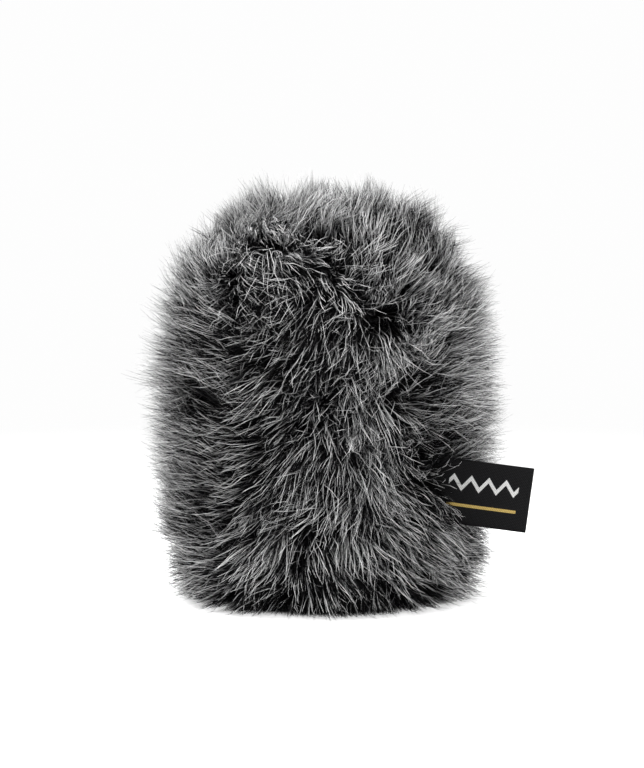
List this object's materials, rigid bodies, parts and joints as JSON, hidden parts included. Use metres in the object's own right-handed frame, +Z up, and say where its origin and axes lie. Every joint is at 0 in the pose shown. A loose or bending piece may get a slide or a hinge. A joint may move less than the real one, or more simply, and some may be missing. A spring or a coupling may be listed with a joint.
{
  "type": "furry windscreen",
  "caption": "Furry microphone windscreen: a sewn long-pile fur cover over a cored foam body, with a rubber grip collar in its mouth and a folded woven side label.",
  "frame": {"origin": "centre of the microphone bore at the mouth, on the surface the windscreen stands on", "axes": "+Z up the bore and away from the mouth, -Y to the front, +X to the side the label is on"},
  "size_m": [0.088, 0.08, 0.096],
  "materials": {
    "fur": "matte",
    "thread": "matte",
    "base_cloth": "matte",
    "binding_tape": "matte",
    "elastic": "matte",
    "collar_rubber": "satin",
    "foam": "matte",
    "label_ribbon": "matte"
  },
  "bodies": {
    "windscreen": {"fur_front_panel": "fur", "fur_rear_right_panel": "fur", "fur_rear_left_panel": "fur", "fur_crown_panel": "fur", "seam_front_right": "thread", "seam_front_left": "thread", "seam_rear": "thread", "seam_crown": "thread", "base_panel": "base_cloth", "seam_base": "thread", "mouth_binding": "binding_tape", "binding_stitches": "thread", "mouth_elastic": "elastic", "grip_collar": "collar_rubber", "foam_sleeve": "foam", "foam_nose": "foam", "label_tail": "label_ribbon"},
    "side_label": {"label": "label_ribbon"}
  },
  "joints": [
    {"name": "label_flap", "type": "hinge", "parent": "windscreen", "child": "side_label", "pos_m": [0.02494, -0.0144, 0.0274], "axis": [0.134, 0, 0.991], "range_deg": [-20, 20], "stiffness_Nm_per_rad": 0.002}
  ]
}
